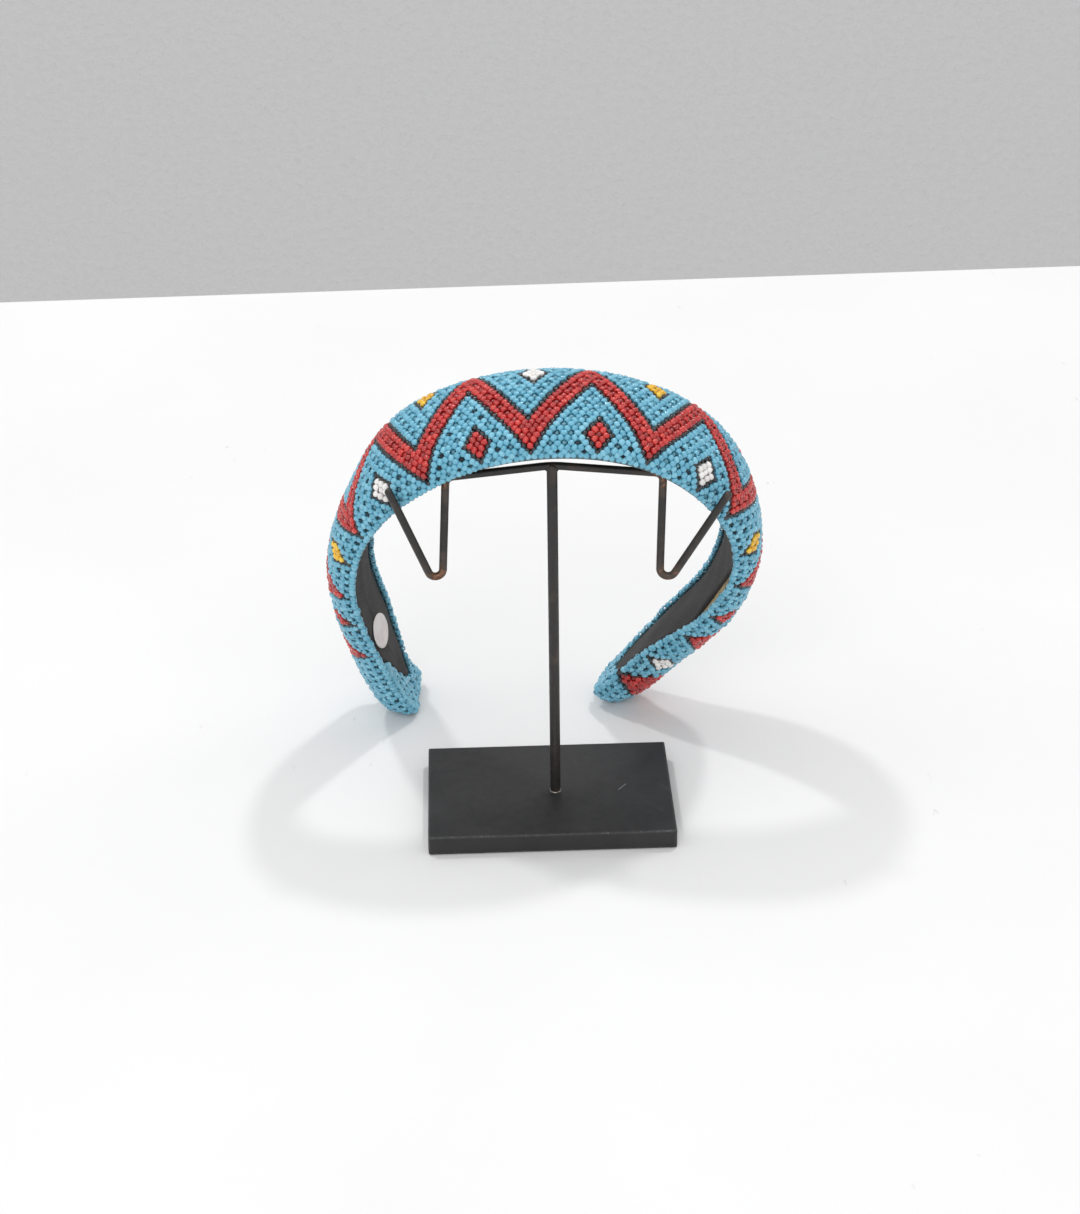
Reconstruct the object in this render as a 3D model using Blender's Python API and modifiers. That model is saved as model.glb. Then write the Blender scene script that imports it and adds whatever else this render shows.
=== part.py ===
"""Beaded headband resting on a bent-wire stand.

Metres, +Z up, with the origin at the centre of the base plate's underside.

The headband is a padded hoop in a tube of beadwork: a stiff strip on the head's side, foam over it,
the bead net drawn round both and turned under at its edges, and a dark cloth lining between those edges.
"""

import math

import bmesh
import bpy
import numpy as np
from mathutils import Matrix, Vector

MM = 0.001

# Base plate
PLATE_WIDTH = 76.2
PLATE_DEPTH = 50.8
PLATE_HEIGHT = 6.35
PLATE_EDGE = 0.5

# Stand: a rod in a blind hole of the plate, with one bent wire soldered to its top
ROD_DIAMETER = 3.2
WIRE_DIAMETER = 2.4
STAND_X = 1.8
STAND_Y = -1.0
STAND_LEAN = 1.25
SEAT_GAP = 0.3
HOLE_DEPTH = 5.0
BAR_REACH = 32.0
ARM_FORWARD = 5.0

# Corners of the bent wire as seen from the front, left arm to right arm.
# x from the rod and bend radius are shares of BAR_REACH, z is a share of the bar's height.
WIRE_CORNERS = (
    (-1.494, 0.959, 0.000),
    (-1.044, 0.633, 0.069),
    (-0.975, 0.975, 0.078),
    (0.000, 1.000, 0.940),
    (1.019, 0.971, 0.078),
    (0.994, 0.628, 0.072),
    (1.603, 0.928, 0.000),
)

# Headband: a C in a plane that leans over the bar, its two tips on the table behind the stand.
# The stand is made to its height: at the crown its line lies CROWN_RISE above the bar
# and CROWN_BEHIND behind it.
SIZE = 70.0
LEAN = 24.598
TURN = 1.2
SIDEWAYS = -13.0
CROWN_RISE = 8.28
CROWN_BEHIND = 10.8
TABLE_GAP = 0.02
FIRST_ANGLE = -66.0
LAST_ANGLE = 246.0

# Shares of SIZE: the C's centre above its tips, and its radius at the crown, which meets the bar
CENTRE_RISE = 1.0286
CROWN_RADIUS = 0.979

# From the right tip over the crown to the left tip: radius, width and padding depth as shares of SIZE,
# and the section's twist in degrees
ARC = (
    (1.031, 0.273, 0.170, -32),
    (0.887, 0.359, 0.186, -28),
    (0.937, 0.433, 0.169, -17),
    (1.000, 0.499, 0.147, -1),
    (1.051, 0.550, 0.147, 4),
    (1.044, 0.570, 0.147, 12),
    (CROWN_RADIUS, 0.546, 0.150, 10),
    (0.877, 0.511, 0.157, 6),
    (0.736, 0.490, 0.150, 14),
    (0.669, 0.469, 0.153, 11),
    (0.669, 0.437, 0.154, 5),
    (0.759, 0.400, 0.171, -5),
    (1.045, 0.371, 0.157, -10),
)

# Layers of the headband
ROUNDNESS = 2.4
BEAD_WALL = 2.0
UNDERSIDE = -1.2
EDGE_ROUND = 1.2
EDGE_CORNER = 0.35
CAVITY_FLOOR = 0.8
TURN_UNDER = 3.4
LAYER_GAP = 0.35
HOOP_SIDE_GAP = 0.6
PADDING_SIDE_GAP = 0.45
PADDING_GAP = 0.5
LINING_RECESS = 0.2
END_TAPER_LENGTH = 15.0
END_ROUND_LENGTH = 12.0
END_CORNER_LENGTH = 3.0
CAVITY_END = 8.5
RIGHT_MOUTH = 11.0
LEFT_MOUTH = 16.0
MOUTH_TAPER_LENGTH = 16.0
HOOP_THICKNESS = 1.0
LINING_THICKNESS = 1.1
LINING_SLIP = 2.4
SLIP_CENTRE = 68.0
SLIP_REACH = 20.0

# Blank oval sticker on the lining of the left leg
STICKER_LENGTH = 21.0
STICKER_WIDTH = 14.0
STICKER_THICKNESS = 0.4
STICKER_FROM_TIP = 38.5
STICKER_OFFSET = 1.5
STICKER_GAP = 0.45


def clear_scene():
    for old in list(bpy.data.objects):
        bpy.data.objects.remove(old, do_unlink=True)
    for old in list(bpy.data.collections):
        bpy.data.collections.remove(old)


def new_collection(name, helper=False):
    made = bpy.data.collections.new(name)
    made.hide_render = helper
    bpy.context.scene.collection.children.link(made)
    return made


def material(name, colour, roughness, metallic=0.0):
    made = bpy.data.materials.new(name)
    made.use_nodes = True
    shader = made.node_tree.nodes["Principled BSDF"]
    shader.inputs["Base Color"].default_value = (*colour, 1.0)
    shader.inputs["Roughness"].default_value = roughness
    shader.inputs["Metallic"].default_value = metallic
    made.diffuse_color = (*colour, 1.0)
    return made


def object_from(name, bm, collection, surface=None, smooth=False):
    bmesh.ops.recalc_face_normals(bm, faces=bm.faces)
    mesh = bpy.data.meshes.new(name)
    bm.to_mesh(mesh)
    bm.free()
    made = bpy.data.objects.new(name, mesh)
    collection.objects.link(made)
    if surface is not None:
        mesh.materials.append(surface)
    if smooth:
        mesh.shade_smooth()
    return made


def helper_from(name, bm, collection):
    made = object_from(name, bm, collection)
    made.hide_render = True
    made.display_type = "WIRE"
    return made


def boolean(target, other, operation):
    step = target.modifiers.new(other.name, "BOOLEAN")
    step.operation = operation
    step.solver = "EXACT"
    step.object = other


def eased(values, share):
    """A smooth curve through evenly spaced values, read at shares of its length from 0 to 1."""
    values = np.asarray(values, float)
    last = len(values) - 1
    slopes = np.gradient(values)
    place = np.asarray(share, float) * last
    below = np.clip(np.floor(place).astype(int), 0, last - 1)
    f = place - below
    start = (2 * f**3 - 3 * f**2 + 1) * values[below] + (f**3 - 2 * f**2 + f) * slopes[below]
    end = (3 * f**2 - 2 * f**3) * values[below + 1] + (f**3 - f**2) * slopes[below + 1]
    return start + end


def rounded(distance, reach):
    """Rises from 0 at the end to 1 at the given reach, as a quarter circle does."""
    return np.sqrt(1 - (1 - np.clip(distance / reach, 0, 1)) ** 2)


def crown_reach():
    """From the foot of the C up to the headband's line at the crown, along the leaning plane."""
    return SIZE * (CENTRE_RISE + CROWN_RADIUS)


def bar_height():
    return crown_reach() * math.cos(math.radians(LEAN)) - CROWN_RISE - WIRE_DIAMETER / 2


class Arch:
    """The headband's line and its cross-axes: place, across (to the front rim), out (away from the head)."""

    def __init__(self, steps=1201):
        radius, width, depth, twist = np.array(ARC, float).T
        share = np.linspace(0, 1, steps)
        angle = np.radians(FIRST_ANGLE + (LAST_ANGLE - FIRST_ANGLE) * share)
        reach = SIZE * eased(radius, share)
        across_plane = reach * np.cos(angle)
        up_plane = SIZE * CENTRE_RISE + reach * np.sin(angle)
        run = np.gradient(across_plane)
        rise = np.gradient(up_plane)
        length = np.hypot(run, rise)
        lean, turn = math.radians(LEAN), math.radians(TURN)
        side = np.array((math.cos(turn), math.sin(turn), 0.0))
        away = np.array((-math.sin(turn), math.cos(turn), 0.0))
        up = math.cos(lean) * np.array((0.0, 0.0, 1.0)) - math.sin(lean) * away
        front = np.cross(side, up)
        behind = CROWN_BEHIND + crown_reach() * math.sin(lean)
        foot = np.array((STAND_X + SIDEWAYS, STAND_Y + behind, 0.0))
        line = foot + np.outer(across_plane, side) + np.outer(up_plane, up)
        outward = np.outer(rise / length, side) - np.outer(run / length, up)
        twist = np.radians(eased(twist, share))[:, None]
        self.across = np.cos(twist) * front + np.sin(twist) * outward
        self.out = np.cos(twist) * outward - np.sin(twist) * front
        gaps = np.linalg.norm(np.diff(line, axis=0), axis=1)
        self.along = np.concatenate(((0.0,), np.cumsum(gaps)))
        self.length = float(self.along[-1])
        ends = np.minimum(self.along, self.length - self.along)
        thin = 0.32 + 0.68 * rounded(ends, END_TAPER_LENGTH)
        shoulder = 0.74 + 0.26 * rounded(ends, END_ROUND_LENGTH)
        narrow = shoulder * (0.6 + 0.4 * rounded(ends, END_CORNER_LENGTH))
        full = SIZE * eased(depth, share)
        self.half = SIZE * eased(width, share) * narrow / 2
        self.depth = full * thin
        self.place = line + self.out * (full * (1 - thin) * 0.3)[:, None]
        self.place[:, 2] += TABLE_GAP - self.lowest()

    def lowest(self):
        """The least height of the outer surface over both tips."""
        from_tip = np.linspace(0.0, END_TAPER_LENGTH, 16)
        heights = []
        for distance in (*from_tip, *(self.length - from_tip)):
            place, across, out, half, depth = self.at(distance)
            for a, b in outer_section(distance, half, depth):
                heights.append((place + a * across + b * out)[2])
        return min(heights)

    def at(self, distance):
        """Place, across, out, half width and depth at a distance along the line from the right tip."""
        pick = [np.interp(distance, self.along, column) for column in self.place.T]
        across = np.array([np.interp(distance, self.along, column) for column in self.across.T])
        out = np.array([np.interp(distance, self.along, column) for column in self.out.T])
        half = float(np.interp(distance, self.along, self.half))
        depth = float(np.interp(distance, self.along, self.depth))
        return np.array(pick), across / np.linalg.norm(across), out / np.linalg.norm(out), half, depth


def dome(half, floor, top, count, start=0.0):
    """Points over the padding from the front edge to the back edge, none lower than start."""
    low = 0.0
    if start > floor:
        low = math.asin(((start - floor) / (top - floor)) ** (ROUNDNESS / 2))
    points = []
    for angle in np.linspace(low, math.pi - low, count):
        cosine = math.cos(angle)
        a = math.copysign(abs(cosine) ** (2 / ROUNDNESS), cosine)
        b = abs(math.sin(angle)) ** (2 / ROUNDNESS)
        points.append((half * a, floor + (top - floor) * b))
    return points


def loft(arch, distances, section):
    """A closed body through the sections at these distances along the arch."""
    bm = bmesh.new()
    rings = []
    for distance in distances:
        place, across, out, half, depth = arch.at(distance)
        ring = []
        for a, b in section(distance, half, depth):
            ring.append(bm.verts.new(Vector(place + a * across + b * out) * MM))
        rings.append(ring)
    for ring, following in zip(rings, rings[1:]):
        for i, vert in enumerate(ring):
            j = (i + 1) % len(ring)
            bm.faces.new((vert, ring[j], following[j], following[i]))
    bm.faces.new(rings[0])
    bm.faces.new(rings[-1])
    return bm


def outer_section(distance, half, depth):
    points = dome(half, 0.0, depth, 17)
    low = max(UNDERSIDE, -0.45 * depth)
    points += [(-half + EDGE_CORNER, 0.6 * low), (-half + EDGE_ROUND, low), (-half * 0.4, low)]
    points += [(half * 0.4, low), (half - EDGE_ROUND, low), (half - EDGE_CORNER, 0.6 * low)]
    return points


def cavity_section(distance, half, depth):
    return dome(half - BEAD_WALL, CAVITY_FLOOR, depth - BEAD_WALL, 15) + [(0.0, CAVITY_FLOOR)]


def window_reach(arch, distance, inset=0.0):
    """Share of the full opening width: it narrows to a point at each tip's pocket."""
    right = rounded(np.array(distance - RIGHT_MOUTH - inset), MOUTH_TAPER_LENGTH)
    left = rounded(np.array(arch.length - LEFT_MOUTH - inset - distance), MOUTH_TAPER_LENGTH)
    return 0.18 + 0.82 * float(min(right, left))


def strip(front, back, low, high):
    middle = (front + back) / 2
    return [(front, low), (front, high), (middle, high), (back, high), (back, low), (middle, low)]


def headband(arch, parts, helpers):
    length = arch.length
    first, last = RIGHT_MOUTH, length - LEFT_MOUTH
    tip = np.array((0.0, 0.7, 1.8, 3.5, 6.0, CAVITY_END, CAVITY_END + 0.7))
    mouth = np.array((0.4, 1.4, 4.0, 9.0))
    between = np.linspace(first + MOUTH_TAPER_LENGTH, last - MOUTH_TAPER_LENGTH, 43)
    covered = np.concatenate((first + mouth, between, last - mouth[::-1]))
    opening = np.concatenate(((first,), covered, (last,)))
    spread = np.concatenate((tip, opening, length - tip[::-1]))
    inner = spread[5:-5]
    held = spread[6:-6]
    net = object_from(
        "bead_net",
        loft(arch, spread, outer_section),
        parts,
        material("light_blue_beads", (0.17, 0.42, 0.55), 0.35),
        smooth=True,
    )
    cavity = helper_from("bead_net_cavity", loft(arch, inner, cavity_section), helpers)
    boolean(net, cavity, "DIFFERENCE")

    def window_section(distance, half, depth):
        wide = (half - TURN_UNDER) * window_reach(arch, distance)
        return strip(wide, -wide, UNDERSIDE - BEAD_WALL, CAVITY_FLOOR + BEAD_WALL / 2)

    window = helper_from("bead_net_window", loft(arch, opening, window_section), helpers)
    boolean(net, window, "DIFFERENCE")

    def lining_section(distance, half, depth):
        wide = (half - TURN_UNDER) * window_reach(arch, distance, mouth[0]) - LAYER_GAP
        slip = LINING_SLIP * max(0.0, 1 - ((distance - SLIP_CENTRE) / SLIP_REACH) ** 2)
        high = CAVITY_FLOOR - LINING_RECESS
        return strip(wide - slip, -wide, high - LINING_THICKNESS, high)

    object_from(
        "lining",
        loft(arch, covered, lining_section),
        parts,
        material("charcoal_cloth", (0.035, 0.035, 0.04), 0.9),
        smooth=False,
    )

    stiff_low = CAVITY_FLOOR + LAYER_GAP
    stiff_high = stiff_low + HOOP_THICKNESS

    def hoop_section(distance, half, depth):
        wide = half - BEAD_WALL - HOOP_SIDE_GAP
        return strip(wide, -wide, stiff_low, stiff_high)

    object_from(
        "hoop",
        loft(arch, held, hoop_section),
        parts,
        material("tan_strip", (0.45, 0.36, 0.2), 0.6),
        smooth=False,
    )

    def padding_section(distance, half, depth):
        wide = half - BEAD_WALL - PADDING_SIDE_GAP
        floor = stiff_high + PADDING_GAP
        return dome(wide, CAVITY_FLOOR, depth - BEAD_WALL - LAYER_GAP, 13, floor) + [(0.0, floor)]

    object_from(
        "padding",
        loft(arch, held, padding_section),
        parts,
        material("black_foam", (0.02, 0.02, 0.022), 0.95),
        smooth=True,
    )

    middle = length - STICKER_FROM_TIP

    def sticker_section(distance, half, depth):
        share = (distance - middle) / (STICKER_LENGTH / 2)
        wide = STICKER_WIDTH / 2 * math.sqrt(max(0.02, 1 - share * share))
        high = CAVITY_FLOOR - LINING_RECESS - LINING_THICKNESS - STICKER_GAP
        return strip(STICKER_OFFSET + wide, STICKER_OFFSET - wide, high - STICKER_THICKNESS, high)

    swing = np.sin(np.linspace(-math.pi / 2, math.pi / 2, 15))
    object_from(
        "label_sticker",
        loft(arch, middle + STICKER_LENGTH / 2 * swing, sticker_section),
        parts,
        material("white_paper", (0.8, 0.79, 0.78), 0.7),
        smooth=False,
    )


def rod_into(bm, foot, top, diameter, sides):
    height = top - foot
    made = bmesh.ops.create_cone(
        bm,
        cap_ends=True,
        segments=sides,
        radius1=diameter / 2 * MM,
        radius2=diameter / 2 * MM,
        depth=height * MM,
    )
    bmesh.ops.translate(bm, verts=made["verts"], vec=Vector((STAND_X, STAND_Y, foot + height / 2)) * MM)


def lean_back(bm):
    bmesh.ops.rotate(
        bm,
        verts=bm.verts,
        cent=Vector((STAND_X, STAND_Y, PLATE_HEIGHT)) * MM,
        matrix=Matrix.Rotation(-math.radians(STAND_LEAN), 3, "X"),
    )


def wire_corners():
    height = bar_height()
    return [(STAND_X + BAR_REACH * x, height * z, BAR_REACH * radius) for x, z, radius in WIRE_CORNERS]


def bent(corners):
    """The wire's centreline: straight runs joined by arcs of the given radii."""
    points = [Vector((corners[0][0], corners[0][1]))]
    for before, corner, after in zip(corners, corners[1:], corners[2:]):
        here = Vector(corner[:2])
        back = (Vector(before[:2]) - here).normalized()
        ahead = (Vector(after[:2]) - here).normalized()
        half = back.angle(ahead) / 2
        middle = here + (back + ahead).normalized() * corner[2] / math.sin(half)
        start = here + back * corner[2] / math.tan(half) - middle
        end = here + ahead * corner[2] / math.tan(half) - middle
        sweep = start.angle_signed(end)
        steps = max(3, round(abs(sweep) / 0.42))
        for i in range(steps + 1):
            turned = -sweep * i / steps
            cosine, sine = math.cos(turned), math.sin(turned)
            arm = Vector((start.x * cosine - start.y * sine, start.x * sine + start.y * cosine))
            points.append(middle + arm)
    points.append(Vector((corners[-1][0], corners[-1][1])))
    return points


def wire_helper(name, points, diameter, collection):
    curve = bpy.data.curves.new(name, "CURVE")
    curve.dimensions = "3D"
    curve.bevel_depth = diameter / 2 * MM
    curve.bevel_resolution = 3
    curve.use_fill_caps = True
    line = curve.splines.new("POLY")
    line.points.add(len(points) - 1)
    for slot, point in zip(line.points, points):
        forward = ARM_FORWARD if point in (points[0], points[-1]) else 0.0
        slot.co = (*(Vector((point.x, STAND_Y - forward, point.y)) * MM), 1.0)
    drawn = bpy.data.objects.new(name + "_line", curve)
    collection.objects.link(drawn)
    bpy.context.view_layer.update()
    bm = bmesh.new()
    bm.from_mesh(drawn.evaluated_get(bpy.context.evaluated_depsgraph_get()).to_mesh())
    bmesh.ops.remove_doubles(bm, verts=bm.verts, dist=0.00001)
    bpy.data.objects.remove(drawn, do_unlink=True)
    lean_back(bm)
    return helper_from(name, bm, collection)


def stand(parts, helpers):
    black = material("worn_black_paint", (0.022, 0.02, 0.019), 0.45, 0.4)
    bm = bmesh.new()
    rod_top = bar_height() + WIRE_DIAMETER / 5
    rod_into(bm, PLATE_HEIGHT - HOLE_DEPTH + SEAT_GAP, rod_top, ROD_DIAMETER, 20)
    lean_back(bm)
    frame = object_from("stand_frame", bm, parts, black, smooth=True)
    wire = wire_helper("bent_wire", bent(wire_corners()), WIRE_DIAMETER, helpers)
    boolean(frame, wire, "UNION")

    bm = bmesh.new()
    bmesh.ops.create_cube(bm, size=1.0)
    bmesh.ops.scale(bm, vec=Vector((PLATE_WIDTH, PLATE_DEPTH, PLATE_HEIGHT)) * MM, verts=bm.verts)
    bmesh.ops.translate(bm, vec=Vector((0.0, 0.0, PLATE_HEIGHT / 2)) * MM, verts=bm.verts)
    matt_black = material("matt_black_plate", (0.02, 0.02, 0.021), 0.55, 0.3)
    plate = object_from("base_plate", bm, parts, matt_black)
    edge = plate.modifiers.new("broken_edges", "BEVEL")
    edge.width = PLATE_EDGE * MM
    edge.segments = 2
    edge.limit_method = "ANGLE"
    bm = bmesh.new()
    rod_into(bm, PLATE_HEIGHT - HOLE_DEPTH, PLATE_HEIGHT + HOLE_DEPTH, ROD_DIAMETER + 2 * SEAT_GAP, 20)
    hole = helper_from("rod_hole", bm, helpers)
    boolean(plate, hole, "DIFFERENCE")


def main():
    clear_scene()
    parts = new_collection("beaded_headband_on_wire_stand")
    helpers = new_collection("helpers", helper=True)
    headband(Arch(), parts, helpers)
    stand(parts, helpers)


main()
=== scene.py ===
"""Beaded headband on a wire stand: glass seed beads netted over padding, with lining, sticker and stand."""

from math import cos, hypot, pi, radians, sin, tan, tau

import bmesh
import bpy
import numpy as np
from mathutils import Matrix, Vector
from numpy.linalg import norm


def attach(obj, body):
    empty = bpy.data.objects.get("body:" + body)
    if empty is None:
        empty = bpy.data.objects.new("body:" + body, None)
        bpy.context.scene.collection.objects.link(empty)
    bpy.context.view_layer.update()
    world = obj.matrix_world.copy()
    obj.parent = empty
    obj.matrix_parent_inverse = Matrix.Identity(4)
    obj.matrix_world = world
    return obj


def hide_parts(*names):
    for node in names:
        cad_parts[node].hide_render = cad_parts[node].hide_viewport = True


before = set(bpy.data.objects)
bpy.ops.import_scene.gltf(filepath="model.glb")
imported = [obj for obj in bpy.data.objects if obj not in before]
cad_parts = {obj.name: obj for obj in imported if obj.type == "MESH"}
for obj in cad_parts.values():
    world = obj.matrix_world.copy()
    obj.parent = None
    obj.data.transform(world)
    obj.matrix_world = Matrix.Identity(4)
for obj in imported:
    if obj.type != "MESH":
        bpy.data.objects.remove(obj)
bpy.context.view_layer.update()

# Sizes are in millimetres and angles in degrees
MM = 0.001

# Stand
PLATE_WIDTH = 76.2
PLATE_DEPTH = 50.8
PLATE_HEIGHT = 6.35
ROD_DIAMETER = 3.2
WIRE_DIAMETER = 2.4
STAND_X = 1.8
STAND_Y = -1.0
STAND_LEAN = 1.25
ROD_FOOT = 1.65
BAR_REACH = 32.0
ARM_FORWARD = 5.0

# Spacing of points along the wire, and round a bend in radians
WIRE_STEP = 2.5
BEND_STEP = 0.16

# Radius of a tight bend, wear of the paint in wider ones, and how far wear reaches beside bends and at
# the wire's last end
TIGHT_BEND = 5.0
WIDE_BEND_WEAR = 0.35
WEAR_REACH = 7
LAST_WEAR_REACH = 5

# Lump of solder at the rod's top: how far under the bar, reach in x, y and z
SOLDER_DROP = 0.7
SOLDER_REACH = (2.3, 1.66, 1.45)

# Outline of the solder round the rod's foot: distance from the rod's axis, height over the plate
FOOT_RING = ((1.5, 0.3), (1.7, 0.36), (1.86, 0.25), (1.98, 0.05), (1.98, -0.1), (1.5, -0.1))

# Corners of the bent wire, left arm to right arm: x from the rod and bend radius as shares of
# BAR_REACH, z as a share of the bar's height
WIRE_CORNERS = (
    (-1.494, 0.959, 0.000),
    (-1.044, 0.633, 0.069),
    (-0.975, 0.975, 0.078),
    (0.000, 1.000, 0.940),
    (1.019, 0.971, 0.078),
    (0.994, 0.628, 0.072),
    (1.603, 0.928, 0.000),
)

# Headband's line: a C that leans over the bar
SIZE = 70.0
LEAN = 24.598
TURN = 1.2
SIDEWAYS = -13.0
CROWN_RISE = 8.28
CROWN_BEHIND = 10.8
TABLE_LIFT = 0.4316
FIRST_ANGLE = -66.0
LAST_ANGLE = 246.0
CENTRE_RISE = 1.0286
CROWN_RADIUS = 0.979

# From the right tip over the crown to the left tip: radius, width and padding depth as shares of
# SIZE, and the section's twist in degrees
ARC = (
    (1.031, 0.273, 0.170, -32),
    (0.887, 0.359, 0.186, -28),
    (0.937, 0.433, 0.169, -17),
    (1.000, 0.499, 0.147, -1),
    (1.051, 0.550, 0.147, 4),
    (1.044, 0.570, 0.147, 12),
    (CROWN_RADIUS, 0.546, 0.150, 10),
    (0.877, 0.511, 0.157, 6),
    (0.736, 0.490, 0.150, 14),
    (0.669, 0.469, 0.153, 11),
    (0.669, 0.437, 0.154, 5),
    (0.759, 0.400, 0.171, 3),
    (1.045, 0.371, 0.157, -3),
)

# Outline of the padding: 2 gives an ellipse, more gives a fuller one
ROUNDNESS = 2.4

# Padding's thickness and band's width at the tips: share left at the end, reach of the change
TIP_DEPTH = (0.32, 15.0)
TIP_WIDTH = (0.74, 12.0)
END_WIDTH = (0.6, 3.0)
TIP_SINK = 0.3

# Net turned under at the rims, and where the opening for the lining starts and how fast it widens
FRONT_TURN = 1.9
BACK_TURN = 3.3
RIGHT_MOUTH = 11.0
LEFT_MOUTH = 6.5
RIGHT_TAPER = 13.0
LEFT_TAPER = 8.0
MOUTH_START = 0.18

# Flap at the left tip: distance from the tip, reach of the opening towards the front rim
LEFT_FLAP = ((6.5, -6.0), (8.0, -5.0), (15.0, 3.1), (26.0, 7.0), (38.0, 13.0), (60.0, 40.0))

# The left tip is pinched at the back and cut off at a slant
TIP_PINCH = 6.0
PINCH_FROM_TIP = 9.5
PINCH_REACH = 5.5
TIP_SLANT = 6.5
TIP_SHORT = 1.0
TIP_REACH = 7.0

# Least height of the net over the table
TABLE_CLEAR = 1.45

# Beads and the net they are strung in
BEAD_DIAMETER = 2.03
BEAD_LENGTH = 2.08
BEAD_PITCH = 1.73
ROW_PITCH = 1.5
BEAD_INSET = 0.97
CLOTH_INSET = 1.5
THREAD_RADIUS = 0.17
THREAD_LENGTH = 2.3

# Scatter of the beads' length and width, of their tilt and of their places, which is larger on the legs
SIZE_SPREAD = (0.05, 0.035, 0.035)
BEAD_TILT = 5.0
BEAD_SCATTER = 0.05
LEG_SCATTER = 0.08
LEG_HEIGHT = 95.0
LEG_FADE = 40.0

# Lower layer of beads: size as a share, tilt, and how deep they lie under the pattern
LOWER_BEAD_SHARE = 0.96
LOWER_BEAD_TILT = 12.0
PATTERN_SINK = 0.32
SINK_SPREAD = 0.15

# Between these girths: how deep the lower layer lies under blue beads, and share of holes left open
BLUE_SINK = ((4, 18), (0.7, 0.42))
OPEN_HOLES = ((4, 22), (0.22, 0.04))

# Black beads are smaller and lie deeper, and the beads beside them lean over them
BLACK_BEAD_SHARE = 0.78
BLACK_BEAD_SINK = 0.3
CROWD_REACH = 2.5
CROWD_LEAN = 0.17

# How far the net sags underneath, and how far its front rim stands up at the crown
UNDER_DROP = 0.22
BACK_DROP = 0.5
RIM_RISE = 1.35
RIM_RISE_AT = 175.0
RIM_RISE_SPAN = 50.0
RIM_RISE_GIRTH = 2.6

# Girth at the back rim that the front's rows leave free, room beside the opening, and least reach of
# the back's rows
BACK_RIM_ROOM = 2.05
MOUTH_ROOM = 0.9
BACK_REACH = 1.2

# How far the beads along the front rim draw together in pairs
PAIR_PULL = 0.2

# Least spacing of beads filled in along the rims and on the tips' ends
FILL_SPACING = 1.66
CAP_SPACING = 1.62

# Length at each tip where beads are gathered, and girths between which they carry the pattern
TIP_ZONE = 6.5
PATTERN_GIRTHS = (3, 26)

# Layers under the net: how far short of the tips they end, how low they lie, how thick the cloths are
LAYER_END = 9.4
STRIP_LOW = 0.8
STRIP_HIGH = 1.6
STRIP_INSET = 2.6
FOAM_FLOOR = 2.65
FOAM_INSET = 1.95
NET_CLOTH_THICKNESS = 0.35
LINING_THICKNESS = 0.9

# Slip of the right leg's lining at its front and back edges: how far, its middle and its reach
LINING_SLIP = (4.6, 73, 18)
STRIP_BARE = (2.0, 76, 9)

# Crease in the left leg's lining
CREASE_START = 215
CREASE_DEPTH = 0.55
CREASE_RIDGE = 0.3

# Oval sticker: half its length and width, tilt, place on the left leg and height under the lining's line
STICKER_LONG = 9.6
STICKER_SHORT = 5.7
STICKER_TILT = 41.0
STICKER_FROM_TIP = 41.6
STICKER_OFFSET = 4.2
STICKER_DROP = 0.8
STICKER_THICKNESS = 0.16

# Short nick in the plate's paint: its middle and the direction it runs in
NICK_X = 22.7
NICK_Y = -0.4
NICK_RUN = 0.62
NICK_RISE = 0.78

# A bead's cut outline: place along the thread, distance from it, as shares of length and diameter
BEAD_PROFILE = ((-0.5, 0.22), (-0.38, 0.41), (0.0, 0.5), (0.38, 0.41), (0.5, 0.22), (0.0, 0.16))

# Beads along the front rim, counted from the middle of the crown, against millimetres from the right tip
STATIONS = (
    (103, -4.7), (90, 17.0), (82, 32.6), (72, 49.8), (64, 64.2), (54, 83.0), (46, 100.2), (36, 119.8),
    (28, 136.0), (18, 154.4), (10, 168.0), (0, 185.3), (-8, 198.6), (-18, 215.0), (-26, 228.6),
    (-36, 245.6), (-44, 260.2), (-54, 275.8), (-62, 291.0), (-72, 309.5), (-80, 323.5), (-97, 353.3),
)

# How far the net is drawn towards the right tip near the back rim, in millimetres
BACK_DRIFT = ((-1, 0.0), (19, 4.2), (36, 4.0), (60, 0.0))

# Rows over the padding, counted from the front rim, against millimetres of girth
ROWS = (
    (-14, -22.2), (0, -1.2), (1, 0.6), (4, 5.2), (6, 8.1), (12, 16.3), (18, 25.6), (24, 34.8), (36, 52.4),
)

# Diamonds in the chart: row of their middles, first one's bead count along the rim, colours in turn
DIAMOND_ROWS = (
    (6, -62, ("red", "yellow", "white", "red", "red", "white", "yellow", "red", "white")),
    (24, -71, ("yellow", "white", "red", "yellow", "white", "yellow", "red", "white", "yellow")),
)

# Beads after which the pattern repeats
REPEAT = 18

# The zigzag's ends, and the outermost beads of a row, all counted along the rim
ZIGZAG_END = -81
TIP_START = 96
FIRST_BEAD = -97
LAST_BEAD = 103
LOWEST_ROW = -14
END_ROW = 36
END_HOLE_ROW = 34
COLUMN_REACH = 130

# Painted shade and reflected light in the holes: the near-black cloth seen between beads of each colour is
# given a dark tint of that colour
PAINTED_HOLE_SHADE_AND_BOUNCE = {
    "blue": (0.025, 0.12, 0.16),
    "red": (0.16, 0.006, 0.01),
    "black": (0.004, 0.005, 0.007),
    "white": (0.3, 0.29, 0.27),
    "yellow": (0.28, 0.13, 0.008),
}

# Room, in metres: corners of the table and wall, table's gap under the stand, strength of the even light
TABLE_CORNERS = ((-3.0, -3.0, 0), (3.0, -3.0, 0), (3.0, 0.51, 0), (-3.0, 0.36, 0))
WALL_CORNERS = ((-7.0, 2.6, -3.0), (7.0, 2.6, -3.0), (7.0, 2.6, 3.0), (-7.0, 2.6, 3.0))
TABLE_GAP = 0.0002
ROOM_LIGHT = 0.84

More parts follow.
